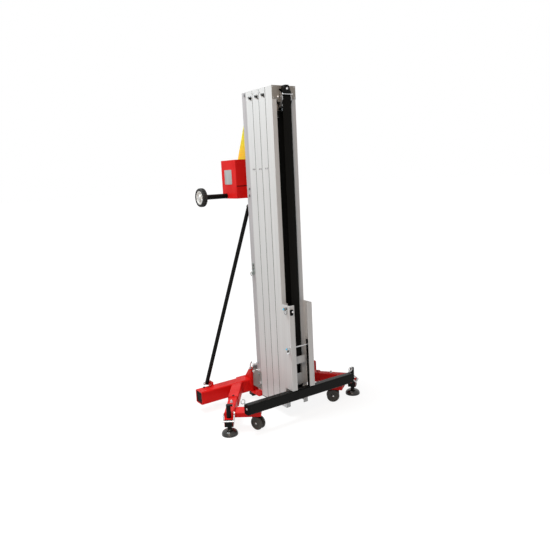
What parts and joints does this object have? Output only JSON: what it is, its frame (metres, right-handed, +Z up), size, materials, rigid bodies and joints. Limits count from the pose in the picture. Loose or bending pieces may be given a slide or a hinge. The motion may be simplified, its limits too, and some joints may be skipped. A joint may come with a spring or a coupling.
{
  "type": "material hoist",
  "caption": "Free-standing hand-winch material hoist: nested aluminium mast sections on a red wheeled base with jack feet lift a carriage with a cross bar by strap and belts.",
  "frame": {"origin": "on the ground, in the middle of the part's width and midway between the front of the fork bar and the rear of the transport wheels", "axes": "+Z up along the mast, +Y to the rear, +X to the right seen from the front of the fork bar looking rearwards"},
  "size_m": [1.0304, 0.6438, 1.934],
  "materials": {
    "mast_aluminium": "extruded, satin anodised",
    "red_paint": "gloss powder coat",
    "black_paint": "semi-gloss powder coat",
    "bare_steel": "zinc plated, dull",
    "bright_steel": "bright zinc plate",
    "pulley_aluminium": "turned",
    "belt_webbing": "woven black belt",
    "yellow_webbing": "woven yellow strap",
    "blue_plastic": "moulded",
    "black_plastic": "moulded",
    "grey_plastic": "moulded",
    "black_rubber": "moulded",
    "tyre_rubber": "moulded",
    "hub_white": "light grey paint"
  },
  "bodies": {
    "base": {"rear_beam": "red_paint", "beam_end_plugs": "black_plastic", "arm_sleeves": "red_paint", "yoke": "red_paint", "mast_brackets": "bare_steel", "struts": "black_paint", "strut_bracket": "bare_steel", "roller_bracket": "black_paint", "mast_section_1": "mast_aluminium", "lift_strap": "yellow_webbing", "strap_inner_run": "yellow_webbing", "winch_housing": "red_paint", "winch_cover": "red_paint", "winch_bracket": "red_paint", "wheel_axle": "black_paint"},
    "rear_rollers": {"rear_rollers": "black_rubber"},
    "section_2": {"mast_section_2": "mast_aluminium", "lift_belt_2": "belt_webbing"},
    "section_3": {"mast_section_3": "mast_aluminium", "lift_belt_3": "belt_webbing"},
    "section_4": {"mast_section_4": "mast_aluminium", "top_cap": "bare_steel", "belt_guard": "black_paint", "front_belt": "belt_webbing"},
    "carriage": {"carriage_left_channel": "mast_aluminium", "carriage_right_channel": "mast_aluminium", "carriage_plates": "mast_aluminium", "fork_bar": "black_paint", "bar_end_caps": "black_plastic"},
    "lock_pin": {"lock_pin": "bright_steel"},
    "lock_pin_button": {"lock_pin_button": "blue_plastic"},
    "cross_rod": {"cross_rod": "bright_steel"},
    "cross_rod_button": {"cross_rod_button": "blue_plastic"},
    "strap_pulley": {"strap_pulley": "pulley_aluminium"},
    "belt_pulley_2": {"belt_pulley_2": "pulley_aluminium"},
    "belt_pulley_3": {"belt_pulley_3": "pulley_aluminium"},
    "top_pulley": {"top_pulley": "pulley_aluminium"},
    "drum": {"winch_drum": "bare_steel", "drum_gear": "bare_steel", "strap_winding": "yellow_webbing"},
    "crank": {"pinion_shaft": "bare_steel", "crank_arm": "black_paint"},
    "crank_grip": {"crank_grip": "black_plastic"},
    "left_wheel": {"left_tyre": "tyre_rubber", "left_hub": "hub_white"},
    "right_wheel": {"right_tyre": "tyre_rubber", "right_hub": "hub_white"},
    "d_ring": {"d_ring": "bright_steel"},
    "left_leg": {"left_leg": "red_paint"},
    "left_jack": {"left_jack_post": "black_paint", "left_foot": "black_rubber"},
    "left_bail": {"left_bail": "bright_steel"},
    "left_caster": {"left_caster_fork": "black_paint"},
    "left_caster_wheel": {"left_caster_wheel": "grey_plastic"},
    "right_leg": {"right_leg": "red_paint"},
    "right_jack": {"right_jack_post": "black_paint", "right_foot": "black_rubber"},
    "right_bail": {"right_bail": "bright_steel"},
    "right_caster": {"right_caster_fork": "black_paint"},
    "right_caster_wheel": {"right_caster_wheel": "grey_plastic"}
  },
  "joints": [
    {"name": "section_2_slide", "type": "slide", "parent": "base", "child": "section_2", "axis": [0, 0, 1], "range_m": [0, 1.06], "deforming": ["strap_inner_run"]},
    {"name": "section_3_slide", "type": "slide", "parent": "section_2", "child": "section_3", "axis": [0, 0, 1], "range_m": [0, 1.06], "deforming": ["lift_belt_2"]},
    {"name": "section_4_slide", "type": "slide", "parent": "section_3", "child": "section_4", "axis": [0, 0, 1], "range_m": [0, 1.06], "deforming": ["lift_belt_3"]},
    {"name": "carriage_slide", "type": "slide", "parent": "section_4", "child": "carriage", "axis": [0, 0, 1], "range_m": [0, 1.06], "deforming": ["front_belt"]},
    {"name": "strap_pulley_spin", "type": "hinge", "parent": "base", "child": "strap_pulley", "pos_m": [0, 0.0441, 1.894], "axis": [1, 0, 0], "range_deg": [-1791.3, 0]},
    {"name": "belt_pulley_2_spin", "type": "hinge", "parent": "section_2", "child": "belt_pulley_2", "pos_m": [0, -0.0564, 1.91], "axis": [1, 0, 0], "range_deg": [-5066.1, 0]},
    {"name": "belt_pulley_3_spin", "type": "hinge", "parent": "section_3", "child": "belt_pulley_3", "pos_m": [0, -0.124, 1.91], "axis": [1, 0, 0], "range_deg": [-5066.1, 0]},
    {"name": "top_pulley_spin", "type": "hinge", "parent": "section_4", "child": "top_pulley", "pos_m": [0, -0.2256, 1.862], "axis": [1, 0, 0], "range_deg": [-1325.3, 0]},
    {"name": "drum_spin", "type": "hinge", "parent": "base", "child": "drum", "pos_m": [0, 0.2319, 1.455], "axis": [1, 0, 0], "range_deg": [-1219.7, 0]},
    {"name": "crank_turn", "type": "hinge", "parent": "base", "child": "crank", "pos_m": [0, 0.17283, 1.50708], "axis": [1, 0, 0], "range_deg": [0, 3891.9]},
    {"name": "crank_grip_spin", "type": "hinge", "parent": "crank", "child": "crank_grip", "pos_m": [0.19, 0.17283, 1.35708], "axis": [1, 0, 0], "continuous": true},
    {"name": "left_wheel_spin", "type": "hinge", "parent": "base", "child": "left_wheel", "pos_m": [-0.296, 0.2639, 1.332], "axis": [1, 0, 0], "continuous": true},
    {"name": "right_wheel_spin", "type": "hinge", "parent": "base", "child": "right_wheel", "pos_m": [0.296, 0.2639, 1.332], "axis": [1, 0, 0], "continuous": true},
    {"name": "rear_roller_spin", "type": "hinge", "parent": "base", "child": "rear_rollers", "pos_m": [0, 0.1819, 0.02], "axis": [1, 0, 0], "continuous": true},
    {"name": "d_ring_swing", "type": "hinge", "parent": "base", "child": "d_ring", "pos_m": [-0.088, 0.0459, 0.854], "axis": [0, 0, 1], "range_deg": [-70, 70]},
    {"name": "lock_pin_pull", "type": "slide", "parent": "carriage", "child": "lock_pin", "axis": [-1, 0, 0], "range_m": [0, 0.03]},
    {"name": "lock_button_press", "type": "slide", "parent": "lock_pin", "child": "lock_pin_button", "axis": [1, 0, 0], "range_m": [0, 0.005], "stiffness_N_per_m": 300},
    {"name": "cross_rod_pull", "type": "slide", "parent": "carriage", "child": "cross_rod", "axis": [-1, 0, 0], "range_m": [0, 0.16]},
    {"name": "rod_button_press", "type": "slide", "parent": "cross_rod", "child": "cross_rod_button", "axis": [1, 0, 0], "range_m": [0, 0.005], "stiffness_N_per_m": 300},
    {"name": "left_leg_slide", "type": "slide", "parent": "base", "child": "left_leg", "axis": [-0.5962, -0.8028, 0], "range_m": [0, 0.12]},
    {"name": "left_jack_slide", "type": "slide", "parent": "left_leg", "child": "left_jack", "axis": [0, 0, 1], "range_m": [-0.035, 0.02]},
    {"name": "left_bail_swing", "type": "hinge", "parent": "left_leg", "child": "left_bail", "pos_m": [-0.46223, -0.21748, 0.125], "axis": [-0.8028, 0.5962, 0], "range_deg": [0, 85]},
    {"name": "left_caster_swivel", "type": "hinge", "parent": "left_leg", "child": "left_caster", "pos_m": [-0.30849, -0.24695, 0.088], "axis": [0, 0, 1], "continuous": true},
    {"name": "left_caster_roll", "type": "hinge", "parent": "left_caster", "child": "left_caster_wheel", "pos_m": [-0.30133, -0.26775, 0.04], "axis": [0.9455, 0.3256, 0], "continuous": true},
    {"name": "right_leg_slide", "type": "slide", "parent": "base", "child": "right_leg", "axis": [0.5962, -0.8028, 0], "range_m": [0, 0.12]},
    {"name": "right_jack_slide", "type": "slide", "parent": "right_leg", "child": "right_jack", "axis": [0, 0, 1], "range_m": [-0.035, 0.02]},
    {"name": "right_bail_swing", "type": "hinge", "parent": "right_leg", "child": "right_bail", "pos_m": [0.46223, -0.21748, 0.125], "axis": [-0.8028, -0.5962, 0], "range_deg": [0, 85]},
    {"name": "right_caster_swivel", "type": "hinge", "parent": "right_leg", "child": "right_caster", "pos_m": [0.30849, -0.24695, 0.088], "axis": [0, 0, 1], "continuous": true},
    {"name": "right_caster_roll", "type": "hinge", "parent": "right_caster", "child": "right_caster_wheel", "pos_m": [0.29025, -0.23465, 0.04], "axis": [-0.5592, -0.829, 0], "continuous": true}
  ],
  "couplings": [
    {"joint": "section_3_slide", "follows": "section_2_slide", "ratio": 1},
    {"joint": "section_4_slide", "follows": "section_2_slide", "ratio": 1},
    {"joint": "carriage_slide", "follows": "section_2_slide", "ratio": 1},
    {"joint": "strap_pulley_spin", "follows": "section_2_slide", "rad_per_m": -29.412},
    {"joint": "belt_pulley_2_spin", "follows": "section_2_slide", "rad_per_m": -83.333},
    {"joint": "belt_pulley_3_spin", "follows": "section_2_slide", "rad_per_m": -83.333},
    {"joint": "top_pulley_spin", "follows": "section_2_slide", "rad_per_m": -21.739},
    {"joint": "drum_spin", "follows": "section_2_slide", "rad_per_m": -20},
    {"joint": "crank_turn", "follows": "section_2_slide", "rad_per_m": 64}
  ]
}
